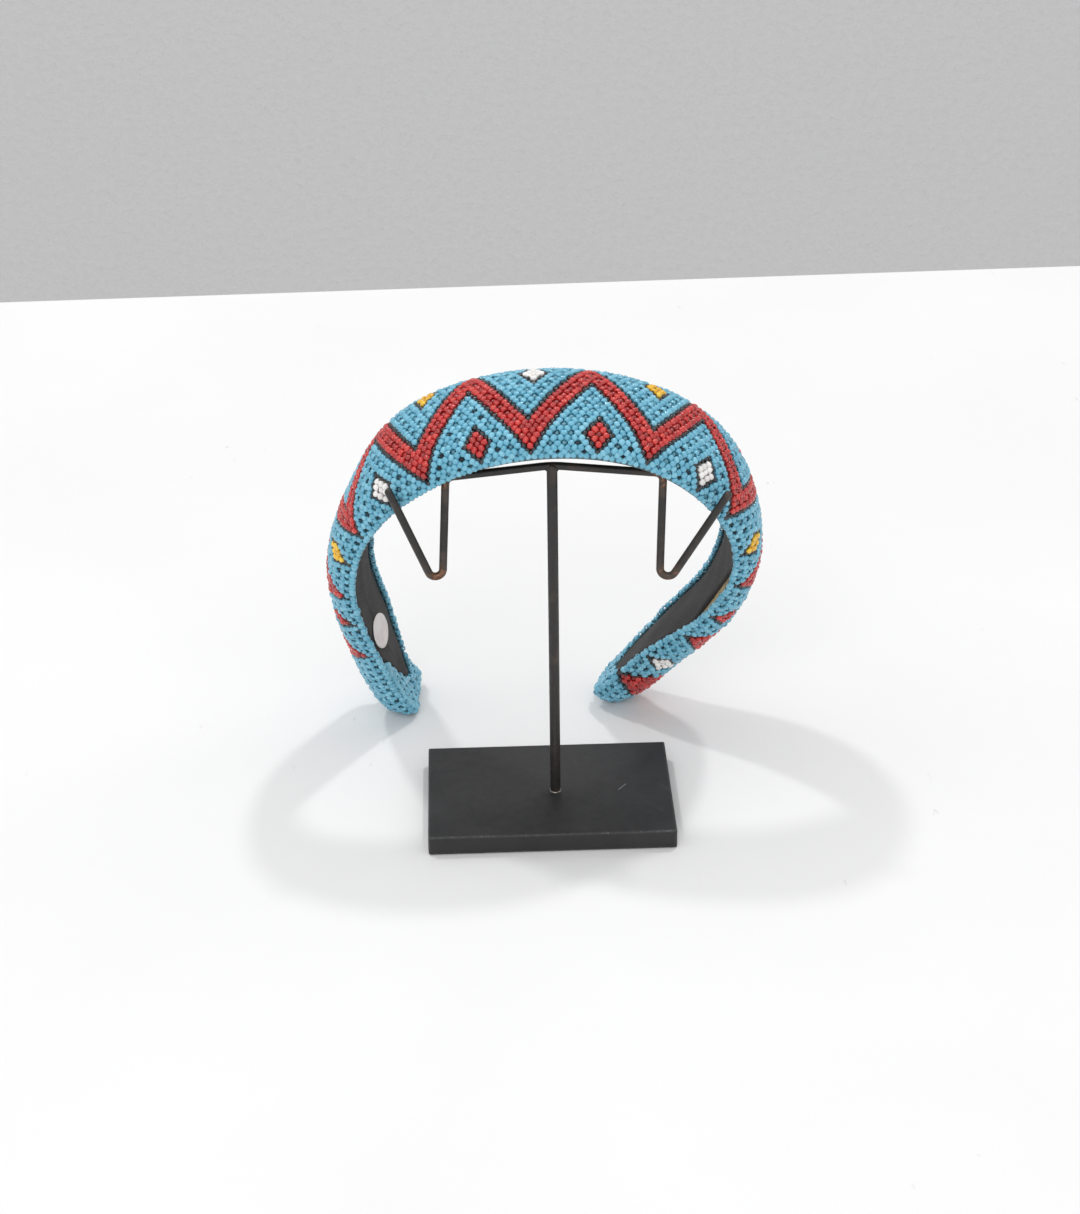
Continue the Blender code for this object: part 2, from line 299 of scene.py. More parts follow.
# Lamps: name, place and aim in metres, width in metres, watts
LAMPS = (
    ("back_right_lamp", (0.62, 0.69, 2.1), (0, 0.02, 0.05), 0.18, 9.8),
    ("back_left_lamp", (-0.9, 0.69, 2.1), (0, 0.02, 0.05), 0.18, 10.4),
    ("front_softbox", (-0.3, -1.3, 1.1), (0, 0.02, 0.06), 0.9, 5.0),
)

# Camera: lens and sensor, angles, and its place as distance, shift to the right and shift up
LENS = 73.39
SENSOR_WIDTH = 36.0
CAMERA_ELEVATION = 29.40
CAMERA_TURN = 1.692
CAMERA_ROLL = -0.758
CAMERA_DISTANCE = 779.9
CAMERA_RIGHT = -2.289
CAMERA_UP = 62.43

random = np.random.default_rng(7)


def eased(values, share):
    """A smooth curve through evenly spaced values, read at shares of its length from 0 to 1."""
    values = np.asarray(values, float)
    last = len(values) - 1
    slopes = np.gradient(values)
    place = np.asarray(share, float) * last
    below = np.clip(np.floor(place).astype(int), 0, last - 1)
    f = place - below
    start = (2 * f**3 - 3 * f**2 + 1) * values[below] + (f**3 - 2 * f**2 + f) * slopes[below]
    end = (3 * f**2 - 2 * f**3) * values[below + 1] + (f**3 - f**2) * slopes[below + 1]
    return start + end


def rounded(distance, reach):
    """Rises from 0 at the end to 1 at the given reach, as a quarter circle does."""
    return np.sqrt(1 - (1 - np.clip(distance / reach, 0, 1)) ** 2)


def growing(distance, least, reach):
    """Rises from the least share at the end to 1 at the given reach."""
    return least + (1 - least) * rounded(distance, reach)


def swell(value, middle, reach):
    """A bell curve: 1 at the middle, small beyond the reach."""
    return np.exp(-(((value - middle) / reach) ** 2))


def bulge(distance, most, middle, reach):
    """An arched bump: its most at the middle, 0 beyond the reach."""
    return most * max(0.0, 1 - ((distance - middle) / reach) ** 2)


def unit(vectors):
    """The vectors at length 1."""
    return vectors / norm(vectors, axis=-1, keepdims=True)


def crown_reach():
    """Distance from the band's lowest line to the crown, along its lean."""
    return SIZE * (CENTRE_RISE + CROWN_RADIUS)


def bar_height():
    """Height of the wire's middle where it crosses the rod, under the leaning crown."""
    return crown_reach() * cos(radians(LEAN)) - CROWN_RISE - WIRE_DIAMETER / 2


class Arch:
    """The headband's line and its cross-axes: place, across (to the front rim), out (away from the head)."""

    def __init__(self, steps=1201):
        radius, width, depth, twist = np.array(ARC, float).T
        share = np.linspace(0, 1, steps)
        angle = np.radians(FIRST_ANGLE + (LAST_ANGLE - FIRST_ANGLE) * share)
        reach = SIZE * eased(radius, share)
        across_plane = reach * np.cos(angle)
        up_plane = SIZE * CENTRE_RISE + reach * np.sin(angle)
        run, rise = np.gradient(across_plane), np.gradient(up_plane)
        length = np.hypot(run, rise)
        lean, turn = radians(LEAN), radians(TURN)
        side = np.array((cos(turn), sin(turn), 0.0))
        away = np.array((-sin(turn), cos(turn), 0.0))
        up = cos(lean) * np.array((0.0, 0.0, 1.0)) - sin(lean) * away
        front = np.cross(side, up)
        behind = CROWN_BEHIND + crown_reach() * sin(lean)
        foot = np.array((STAND_X + SIDEWAYS, STAND_Y + behind, 0.0))
        line = foot + np.outer(across_plane, side) + np.outer(up_plane, up)
        outward = np.outer(rise / length, side) - np.outer(run / length, up)
        twist = np.radians(eased(twist, share))[:, None]
        self.across = np.cos(twist) * front + np.sin(twist) * outward
        self.out = np.cos(twist) * outward - np.sin(twist) * front
        gaps = norm(np.diff(line, axis=0), axis=1)
        self.along = np.concatenate(((0.0,), np.cumsum(gaps)))
        self.length = float(self.along[-1])
        ends = np.minimum(self.along, self.length - self.along)
        thin = growing(ends, *TIP_DEPTH)
        narrow = growing(ends, *TIP_WIDTH) * growing(ends, *END_WIDTH)
        full = SIZE * eased(depth, share)
        self.half = SIZE * eased(width, share) * narrow / 2
        self.depth = full * thin
        self.place = line + self.out * (full * (1 - thin) * TIP_SINK)[:, None]
        self.place[:, 2] += TABLE_LIFT

    def at(self, distance):
        """Place, across, out, half width and depth at distances along the line from the right tip."""
        distance = np.atleast_1d(np.asarray(distance, float))
        read = [
            np.stack([np.interp(distance, self.along, column) for column in table.T], -1)
            for table in (self.place, self.across, self.out)
        ]
        half = np.interp(distance, self.along, self.half)
        depth = np.interp(distance, self.along, self.depth)
        return read[0], unit(read[1]), unit(read[2]), half, depth

    def one(self, distance):
        """The same at a single distance."""
        return (value[0] for value in self.at(distance))

    def opened(self, distance):
        """How far the cover is open for the lining: 1 along the band, 0 in each tip's pocket."""
        distance = np.asarray(distance, float)
        right = rounded(distance - RIGHT_MOUTH, RIGHT_TAPER)
        left = rounded(self.length - LEFT_MOUTH - distance, LEFT_TAPER)
        open_here = (distance > RIGHT_MOUTH) & (distance < self.length - LEFT_MOUTH)
        return np.where(open_here, MOUTH_START + (1 - MOUTH_START) * np.minimum(right, left), 0.0)

    def window(self, distance, side):
        """How far the opening reaches from the middle towards the front or back rim."""
        distance = np.asarray(distance, float)
        half = np.interp(distance, self.along, self.half)
        if side == "back":
            return (half - BACK_TURN) * self.opened(distance)
        slant = np.interp(self.length - distance, *zip(*LEFT_FLAP))
        reach = np.minimum((half - FRONT_TURN) * self.opened(distance), slant)
        return np.where(self.opened(distance) > 0, reach, 0.0)

    def places(self, distance, spots):
        """Points from across and out; the left tip is pinched at the back and runs out to a corner."""
        place, across, out, half, _ = self.at(distance)
        a, b = spots[:, 0], spots[:, 1]
        from_tip = self.length - np.asarray(distance, float)
        back = (1 - a / half) / 2
        pinch = TIP_PINCH * swell(from_tip, PINCH_FROM_TIP, PINCH_REACH) * back
        step = 0.25
        ahead = unit(self.at(distance + step)[0] - self.at(distance - step)[0])
        slant = (TIP_SLANT * back - TIP_SHORT * (1 - back)) * swell(from_tip, 0, TIP_REACH)
        spot = place + (a + pinch)[:, None] * across + b[:, None] * out + slant[:, None] * ahead
        spot[:, 2] = np.maximum(spot[:, 2], TABLE_CLEAR)
        return spot


def round_path(half, depth, inset):
    """The padding's outline, sunk by an inset: across and out, with the run from the front rim."""
    turn = np.linspace(0, pi, 241)
    cosine = np.cos(turn)
    a = (half - inset) * np.copysign(np.abs(cosine) ** (2 / ROUNDNESS), cosine)
    b = (depth - inset) * np.abs(np.sin(turn)) ** (2 / ROUNDNESS)
    run = np.concatenate(((0.0,), np.cumsum(np.hypot(np.diff(a), np.diff(b)))))
    return a, b, run


def section_places(arch, distance, girth):
    """Points at girths from the front rim; those below 0 and past the back rim lie underneath."""
    _, _, _, half, depth = arch.at(distance)
    drop = UNDER_DROP + BACK_DROP * arch.opened(distance)
    rise = RIM_RISE * swell(np.asarray(distance), RIM_RISE_AT, RIM_RISE_SPAN)
    spots = np.empty((len(girth), 2))
    for n, (h, d, g) in enumerate(zip(half, depth, girth)):
        a, b, run = round_path(h, d, BEAD_INSET)
        if g < 0:
            spots[n] = a[0] + g, rise[n] - UNDER_DROP * min(1.0, -g)
        elif g > run[-1]:
            past = g - run[-1]
            spots[n] = a[-1] + past, -drop[n] * min(1.0, past)
        else:
            risen = rise[n] * swell(g, 0, RIM_RISE_GIRTH)
            spots[n] = np.interp(g, run, a), np.interp(g, run, b) + risen
    return arch.places(distance, spots)


def full_girth(arch, distance):
    """Girth over the padding from the front rim to the back rim."""
    _, _, _, half, depth = arch.at(distance)
    return np.array([round_path(h, d, BEAD_INSET)[2][-1] for h, d in zip(half, depth)])


def smooth_table(pairs, reach):
    """A function through the pairs with its corners evened out over the given reach."""
    known = np.array(sorted(pairs), float)
    fine = np.arange(known[0, 0], known[-1, 0] + 0.01, 0.25)
    values = np.interp(fine, known[:, 0], known[:, 1])
    pad = int(reach * 4)
    first, last = values[1] - values[0], values[-1] - values[-2]
    ahead = values[0] - first * np.arange(pad, 0, -1)
    after = values[-1] + last * np.arange(1, pad + 1)
    kernel = np.ones(2 * pad + 1) / (2 * pad + 1)
    evened = np.convolve(np.concatenate((ahead, values, after)), kernel, "valid")
    return lambda x: np.interp(x, fine, evened)


station = smooth_table(STATIONS, 4.0)
row_girth = smooth_table(ROWS, 1.0)
ROW_COUNTS = np.arange(LOWEST_ROW, END_ROW + 0.5)


def bead_station(x, row):
    """Distance from the right tip of a bead counted along the rim, in a row of the net."""
    drift = np.interp(x, *zip(*BACK_DRIFT)) * np.clip((row_girth(row) - 8) / 27, 0, 1.2)
    return station(x) - drift


def rim_count(i, j):
    """Place along the rim of bead i in row j, counted in beads from the middle of the crown."""
    return i + j / 2 - 3


def is_hole(i, j):
    """Whether the net has a hole, and no bead, at this column and row."""
    return i % 2 == 0 and j % 2 == 0 and j != 0


def chart(i, j):
    """Colour of bead i in row j of the net."""
    x = rim_count(i, j)
    for middle_j, first_x, colours in DIAMOND_ROWS:
        for n, colour in enumerate(colours):
            middle_i = first_x + REPEAT * n - middle_j / 2 + 3
            reach = max(abs(i - middle_i), abs(i + j - middle_i - middle_j))
            if reach <= 2:
                return colour if reach <= 1 else "black"
    if not ZIGZAG_END <= x <= TIP_START:
        return "blue"
    off = abs((j - 6) - 2 * abs((x + REPEAT / 2) % REPEAT - REPEAT / 2))
    if x > 86:
        off -= 2
    return "red" if off <= 2 else "black" if off == 4 else "blue"


def chart_near(x, row):
    """Colour of the bead nearest to a place in the net."""
    j = round(row)
    i = round(x - j / 2 + 3)
    return chart(i + 1 if is_hole(i, j) else i, j)


def chart_place(distance, girth):
    """Bead count along the rim and row of a place on the band."""
    beads = np.arange(FIRST_BEAD, LAST_BEAD + 0.5)
    row = np.interp(girth, row_girth(ROW_COUNTS), ROW_COUNTS)
    x = np.interp(-distance, -bead_station(beads, row), beads)
    return x, row


def strand_directions(i, j):
    """Thread direction through bead i of row j, as beads along the rim and rows."""
    if j % 2 == 0 and j != 0:
        return 1.0, 0.0
    return (0.5, 1.0) if i % 2 == 0 else (-0.5, 1.0)


def strung_rows(arch, rows, back=False):
    """Distance, girth, thread direction and colour of every bead in these rows of the net."""
    found = []
    for j in rows:
        for i in range(-COLUMN_REACH, COLUMN_REACH):
            x = rim_count(i, j)
            if is_hole(i, j) or not FIRST_BEAD <= x <= LAST_BEAD:
                continue
            pull = PAIR_PULL * (2 * round(x / 2) - x) if j == 1 and not back else 0.0
            distance = float(bead_station(x + pull, j))
            found.append((distance, float(row_girth(j)), *strand_directions(i, j), i, j))
    found = np.array(found)
    found = found[(found[:, 0] > BEAD_INSET) & (found[:, 0] < arch.length - BEAD_INSET)]
    distance, row, toward_x, toward_row, i, j = found.T
    total = full_girth(arch, distance)
    inward = arch.at(distance)[3] - BEAD_INSET + row
    under = inward > arch.window(distance, "back" if back else "front") + MOUTH_ROOM
    if back:
        keep = under & (inward > BACK_REACH)
        beads = np.stack((distance, total - row, toward_x, -toward_row), -1)
        return beads[keep], ["blue"] * keep.sum()
    keep = np.where(row < 0, under, row < total - BACK_RIM_ROOM)
    colours = [chart(int(a), int(b)) for a, b in zip(i[keep], j[keep])]
    return found[keep, :4], colours


def frames_at(arch, distance, girth, toward_x, toward_row):
    """Place and axes (thread, sideways, outward) of beads on the net."""
    step = 0.3
    place = section_places(arch, distance, girth)
    along = section_places(arch, distance + step, girth) - section_places(arch, distance - step, girth)
    over = section_places(arch, distance, girth + step) - section_places(arch, distance, girth - step)
    along, over = along / (2 * step), over / (2 * step)
    thread = unit(-BEAD_PITCH * toward_x[:, None] * along + ROW_PITCH * toward_row[:, None] * over)
    outward = unit(np.cross(over, along))
    sideways = unit(np.cross(outward, thread))
    return place, np.stack((thread, sideways, np.cross(thread, sideways)), -1)


def fill(places, candidates, spacing):
    """Numbers of the candidates that find room beside the beads already placed."""
    kept = places.copy()
    added = []
    for n, candidate in enumerate(candidates):
        if np.min(np.sum((kept - candidate) ** 2, axis=1)) > spacing**2:
            kept = np.vstack((kept, candidate))
            added.append(n)
    return added


def rim_spots(arch):
    """Places for beads gathered at the tips and along the back rim, where the rows run out."""
    spots = []
    for near in np.arange(BEAD_INSET, TIP_ZONE, 0.35):
        for distance in (near, arch.length - near):
            total = float(full_girth(arch, [distance])[0])
            limit = float(arch.at([distance])[3][0]) - BEAD_INSET
            for girth in np.arange(-limit, total + limit, 0.4):
                if limit + min(girth, total - girth) > 0:
                    spots.append((distance, girth, 1.0, 0.0))
    for distance in np.arange(TIP_ZONE, arch.length - TIP_ZONE, 0.5):
        total = float(full_girth(arch, [distance])[0])
        spots += [(distance, total - room, 0.5, 1.0) for room in (2.2, 2.6, 3.0)]
    return np.array(spots)


def cap_beads(arch):
    """Places and axes for beads on each tip's blunt end."""
    caps, axes = [], []
    for distance, sign in ((BEAD_INSET, 1.0), (arch.length - BEAD_INSET, -1.0)):
        place, across, out, half, depth = arch.one(distance)
        along = np.cross(out, across)
        beyond = arch.at([distance + sign])[0][0] - place
        normal = -along if along @ beyond > 0 else along
        for share in (0.72, 0.5, 0.28, 0.05):
            for turn in np.linspace(0, tau, 60, endpoint=False):
                a = (half - BEAD_INSET) * cos(turn) * share
                b = depth * 0.42 + (depth - BEAD_INSET) * 0.5 * sin(turn) * share
                caps.append(arch.places(np.array([distance]), np.array([[a, b]]))[0])
                axes.append(np.stack((across, np.cross(normal, across), normal), -1))
    return np.array(caps), np.array(axes)


def net_beads(arch):
    """Every bead of the net: place, axes, colour."""
    front, colours = strung_rows(arch, range(LOWEST_ROW, END_ROW))
    back, back_colours = strung_rows(arch, range(LOWEST_ROW, 2), back=True)
    colours += back_colours
    places, axes = frames_at(arch, *np.vstack((front, back)).T)
    spots = rim_spots(arch)
    rim_places, rim_axes = frames_at(arch, *spots.T)
    chosen = fill(places, rim_places, FILL_SPACING)
    low, high = PATTERN_GIRTHS
    for distance, girth, _, _ in spots[chosen]:
        colours.append(chart_near(*chart_place(distance, girth)) if low < girth < high else "blue")
    places = np.vstack((places, rim_places[chosen]))
    axes = np.concatenate((axes, rim_axes[chosen]))
    caps, cap_axes = cap_beads(arch)
    chosen = fill(places, caps, CAP_SPACING)
    colours += ["blue"] * len(chosen)
    return np.vstack((places, caps[chosen])), np.concatenate((axes, cap_axes[chosen])), np.array(colours)


def linked(name, data):
    """A new object in the scene."""
    made = bpy.data.objects.new(name, data)
    bpy.context.scene.collection.objects.link(made)
    return made


def piece_from(bm, name, material, smooth=True):
    """A new object made of the faces built so far, their outsides turned outwards."""
    bmesh.ops.recalc_face_normals(bm, faces=bm.faces)
    mesh = bpy.data.meshes.new(name)
    bm.to_mesh(mesh)
    bm.free()
    if smooth:
        mesh.shade_smooth()
    mesh.materials.append(material)
    return linked(name, mesh)


def turned_ring(bm, points, axis, steps):
    """A closed outline in the plane of x and z, spun round an axis through the origin."""
    ring = [bm.verts.new((x, 0.0, z)) for x, z in points]
    edges = [bm.edges.new((a, b)) for a, b in zip(ring, ring[1:] + ring[:1])]
    whole = {"cent": (0, 0, 0), "angle": tau, "use_merge": True}
    bmesh.ops.spin(bm, geom=ring + edges, axis=axis, steps=steps, **whole)


def bead_shape():
    """One seed bead round its thread: a short tube with rolled ends. Returns its points and faces."""
    bm = bmesh.new()
    turned_ring(bm, [(BEAD_LENGTH * x, BEAD_DIAMETER * r) for x, r in BEAD_PROFILE], (1, 0, 0), 10)
    return taken_from(bm)


def thread_shape():
    """A short length of the net's thread."""
    bm = bmesh.new()
    ends = {"radius1": THREAD_RADIUS, "radius2": THREAD_RADIUS, "depth": THREAD_LENGTH}
    bmesh.ops.create_cone(bm, cap_ends=False, segments=5, **ends)
    bmesh.ops.rotate(bm, verts=bm.verts, cent=(0, 0, 0), matrix=Matrix.Rotation(pi / 2, 3, "Y"))
    return taken_from(bm)


def taken_from(bm):
    """Points and faces of a small shape."""
    bmesh.ops.recalc_face_normals(bm, faces=bm.faces)
    bm.verts.index_update()
    points = np.array([vert.co[:] for vert in bm.verts])
    faces = np.array([[vert.index for vert in face.verts] for face in bm.faces])
    bm.free()
    return points, faces


def many(name, shape, places, axes, material, size=1.0):
    """Copies of a small shape joined in one piece, each a little different in size and tint."""
    points, faces = shape
    count = len(places)
    sizes = size * (1 + random.normal(0, 1, (count, 3)).clip(-2, 2) * SIZE_SPREAD)
    local = points[None] * sizes[:, None, :]
    verts = np.einsum("nij,nvj->nvi", axes, local) + places[:, None, :]
    quads = faces[None] + (np.arange(count) * len(points))[:, None, None]
    mesh = bpy.data.meshes.new(name)
    mesh.from_pydata((verts.reshape(-1, 3) * MM).tolist(), [], quads.reshape(-1, faces.shape[1]).tolist())
    tint = mesh.attributes.new("tint", "FLOAT", "POINT")
    tint.data.foreach_set("value", np.repeat(random.uniform(0, 1, count), len(points)).astype(np.float32))
    mesh.shade_smooth()
    mesh.materials.append(material)
    return linked(name, mesh)


def tilted(axes, angle):
    """The same axes, each turned a little at random."""
    turn = random.normal(0, radians(angle), (len(axes), 3))
    nudge = np.zeros((len(axes), 3, 3))
    nudge[:, 0, 1], nudge[:, 0, 2], nudge[:, 1, 2] = -turn[:, 2], turn[:, 1], -turn[:, 0]
    nudge -= nudge.transpose(0, 2, 1)
    moved = np.einsum("nij,njk->nik", np.eye(3) + nudge, axes)
    first = unit(moved[:, :, 0])
    second = unit(np.cross(moved[:, :, 2], first))
    return np.stack((first, second, np.cross(first, second)), -1)


class Look:
    """A material and short calls for its nodes."""

    def __init__(self, name, **values):
        self.material = bpy.data.materials.new(name)
        self.material.use_nodes = True
        self.tree = self.material.node_tree
        self.shader = self.tree.nodes["Principled BSDF"]
        for key, value in values.items():
            label = "IOR" if key == "ior" else key.replace("_", " ").title()
            self.shader.inputs[label].default_value = value
        self.place = self.node("ShaderNodeTexCoord").outputs["Object"]

    def node(self, kind, inputs=None, **settings):
        made = self.tree.nodes.new(kind)
        for key, value in settings.items():
            setattr(made, key, value)
        for key, value in (inputs or {}).items():
            self.put(made.inputs[key], value)
        return made

    def put(self, socket, value):
        if isinstance(value, bpy.types.NodeSocket):
            self.tree.links.new(value, socket)
        elif socket.type == "RGBA":
            socket.default_value = (*value, 1.0)
        else:
            socket.default_value = value

    def set(self, name, value):
        self.put(self.shader.inputs[name], value)

    def colour(self, value):
        self.set("Base Color", value)

    def noise(self, scale, detail=3.0, roughness=0.5, place=None):
        inputs = {"Vector": place or self.place, "Scale": scale, "Detail": detail, "Roughness": roughness}
        return self.node("ShaderNodeTexNoise", inputs).outputs["Fac"]

    def specks(self, scale):
        return self.node("ShaderNodeTexVoronoi", {"Vector": self.place, "Scale": scale}).outputs["Distance"]

    def stretched(self, scale, place=None):
        inputs = {"Vector": place or self.place, "Scale": scale}
        return self.node("ShaderNodeMapping", inputs).outputs["Vector"]

    def math(self, operation, a, b=0.0, clamp=False):
        made = self.node("ShaderNodeMath", {0: a, 1: b}, operation=operation, use_clamp=clamp)
        return made.outputs["Value"]

    def plus(self, a, b):
        return self.math("ADD", a, b)

    def minus(self, a, b):
        return self.math("SUBTRACT", a, b)

    def times(self, a, b):
        return self.math("MULTIPLY", a, b)

    def size(self, a):
        return self.math("ABSOLUTE", a)

    def split(self, vector):
        return self.node("ShaderNodeSeparateXYZ", {"Vector": vector}).outputs

    def ranged(self, value, low=0.3, high=0.7, start=0.0, end=1.0):
        inputs = {"Value": value, "From Min": low, "From Max": high, "To Min": start, "To Max": end}
        return self.node("ShaderNodeMapRange", inputs).outputs["Result"]

    def mix(self, share, a, b):
        return self.node("ShaderNodeMix", {0: share, 6: a, 7: b}, data_type="RGBA").outputs[2]

    def attribute(self, name, kind="Fac"):
        return self.node("ShaderNodeAttribute", attribute_name=name).outputs[kind]

    def bump(self, height, distance, strength=1.0):
        inputs = {"Height": height, "Distance": distance, "Strength": strength}
        self.set("Normal", self.node("ShaderNodeBump", inputs).outputs["Normal"])


def glass(name, deep, plain, pale, roughness=0.2):
    """Opaque glass beads: each bead its own tint, faint streaks in the glass and a soft shine."""
    look = Look(name, roughness=roughness, coat_weight=0.5, coat_roughness=0.08, ior=1.5)
    tint = look.attribute("tint")
    own = look.mix(look.ranged(tint, 0.0, 0.55), deep, plain)
    own = look.mix(look.ranged(tint, 0.6, 1.0), own, pale)
    streaks = look.ranged(look.noise(1400.0, 3.0, 0.6), 0.35, 0.7)
    look.colour(look.mix(streaks, own, look.mix(0.35, own, pale)))
    dull = look.ranged(look.noise(500.0, 2.0), 0.3, 0.75, roughness * 0.75, roughness * 1.7)
    look.set("Roughness", dull)
    look.bump(look.noise(2600.0, 2.0), 0.00004)
    return look.material


def cloth_mesh(name, grid, material, closed=False, uv=None, weld=False):
    """A surface through a grid of points in millimetres, rows along the headband."""
    rows, count = grid.shape[:2]
    bm = bmesh.new()
    verts = [[bm.verts.new(Vector(point) * MM) for point in row] for row in grid]
    layer = bm.loops.layers.uv.new("weave") if uv is not None else None
    for n in range(rows - 1):
        for k in range(count if closed else count - 1):
            after = (k + 1) % count
            corners = ((n, k), (n, after), (n + 1, after), (n + 1, k))
            face = bm.faces.new([verts[row][column] for row, column in corners])
            face.smooth = True
            if layer is not None:
                for loop, corner in zip(face.loops, corners):
                    loop[layer].uv = uv[corner]
    if closed:
        for end in (verts[0], verts[-1]):
            bm.faces.new(end)
    if weld:
        bmesh.ops.remove_doubles(bm, verts=bm.verts, dist=0.01 * MM)
    return piece_from(bm, name, material, smooth=False)


def thickened(made, thickness):
    """The same piece with its cloth's thickness, half on each side."""
    step = made.modifiers.new("cloth_thickness", "SOLIDIFY")
    step.thickness = thickness * MM
    step.offset = 0.0
    return made


def flat_area(grid):
    """Area of the grid's cells in square metres."""
    one = grid[1:, :-1] - grid[:-1, :-1]
    two = grid[:-1, 1:] - grid[:-1, :-1]
    three = grid[1:, :-1] - grid[1:, 1:]
    four = grid[:-1, 1:] - grid[1:, 1:]
    cells = norm(np.cross(one, two), axis=-1) + norm(np.cross(three, four), axis=-1)
    return float(cells.sum()) / 2 * MM * MM


def section_grid(arch, distances, section):
    """Points of a section, given as across and out, at each distance along the band."""
    rows = []
    for distance in distances:
        _, _, _, half, depth = arch.one(distance)
        spots = np.array(section(distance, half, depth))
        rows.append(arch.places(np.full(len(spots), distance), spots))
    return np.array(rows)


def outline_part(half, depth, inset, count, floor=0.0):
    """Evenly spaced points of the padding's outline above a floor: across and out."""
    a, b, run = round_path(half, depth, inset)
    kept = run[b >= floor]
    reach = np.linspace(kept[0], kept[-1], count)
    return np.stack((np.interp(reach, run, a), np.interp(reach, run, b)), -1)


def widest(grid, axis):
    """Length of the longest row or column of a grid."""
    return float(norm(np.diff(grid, axis=axis), axis=-1).sum(axis=axis).max())


def backing_cloth(arch):
    """Dark cloth that the net is strung over, turned under at both rims, with painted shade and reflected
    light.
    """
    look = Look("dark_net_cloth", roughness=0.85, sheen_weight=0.2)
    threads = look.specks(1500.0)
    # Painted shade and reflected light: the cloth between beads takes a dark tint of the beads round it,
    # mixed with its near-black threads
    shade = look.attribute("painted_hole_light", "Color")
    look.colour(look.mix(look.ranged(threads, 0.6, 0.1, 0.0, 0.55), shade, (0.004, 0.01, 0.014)))
    look.bump(threads, 0.0002, 0.8)
    turned_under, over_top = 5, 57

    def section(distance, half, depth):
        over = outline_part(half, depth, CLOTH_INSET, over_top)
        low = 0.45 + 0.3 * float(arch.opened(distance))
        wide = half - CLOTH_INSET
        sides = []
        for side, out_to, level in (("front", wide - 0.35, low), ("back", wide + 0.5, -0.4)):
            edge = min(float(arch.window(distance, side)) + 0.15, wide - 0.7)
            run = np.linspace(edge, out_to, turned_under)
            sides.append(np.stack((run, np.full(turned_under, level)), -1))
        return np.vstack((sides[0], over, sides[1][::-1] * (-1, 1)))

    distances = np.linspace(1.3, arch.length - 1.3, 361)
    grid = section_grid(arch, distances, section)
    cloth = cloth_mesh("backing_cloth", grid, look.material)
    # Painted shade and reflected light: each point over the padding takes the dark tint of the nearest
    # bead's colour, the turned-under edges that of blue
    hole_light = np.zeros((*grid.shape[:2], 4)) + (*PAINTED_HOLE_SHADE_AND_BOUNCE["blue"], 1.0)
    for n, total in enumerate(full_girth(arch, distances)):
        for k in range(over_top):
            x, row = chart_place(distances[n], total * k / (over_top - 1))
            hole_light[n, turned_under + k, :3] = PAINTED_HOLE_SHADE_AND_BOUNCE[chart_near(x, row)]
    tint = cloth.data.color_attributes.new("painted_hole_light", "FLOAT_COLOR", "POINT")
    tint.data.foreach_set("color", hole_light.astype(np.float32).ravel())
    flat = (widest(grid, 1) * MM, widest(grid, 0) * MM)
    return thickened(cloth, NET_CLOTH_THICKNESS), flat, flat_area(grid)


def inside_distances(arch):
    """Distances for the layers under the net, which end short of the tips."""
    return np.linspace(LAYER_END, arch.length - LAYER_END, 141)


def foam(arch):
    """The padding that gives the band its round back."""
    look = Look("black_foam", roughness=0.95)
    cells = look.specks(1800.0)
    black = look.mix(look.ranged(cells, 0.0, 0.7), (0.004, 0.004, 0.005), (0.02, 0.02, 0.022))
    look.colour(black)
    look.bump(cells, 0.0002, 0.6)

    def section(distance, half, depth):
        return outline_part(half, depth, FOAM_INSET, 25, FOAM_FLOOR)

    grid = section_grid(arch, inside_distances(arch), section)
    return cloth_mesh("foam_padding", grid, look.material, closed=True)


def woven(look, threads):
    """Height of a plain weave, its threads counted per metre of the piece's own grid."""
    own = look.split(look.node("ShaderNodeUVMap", uv_map="weave").outputs["UV"])
    turn = tau * threads / 2
    warp, weft = (look.math("SINE", look.times(own[axis], turn)) for axis in "XY")
    return look.ranged(look.times(warp, weft), -1.0, 1.0)


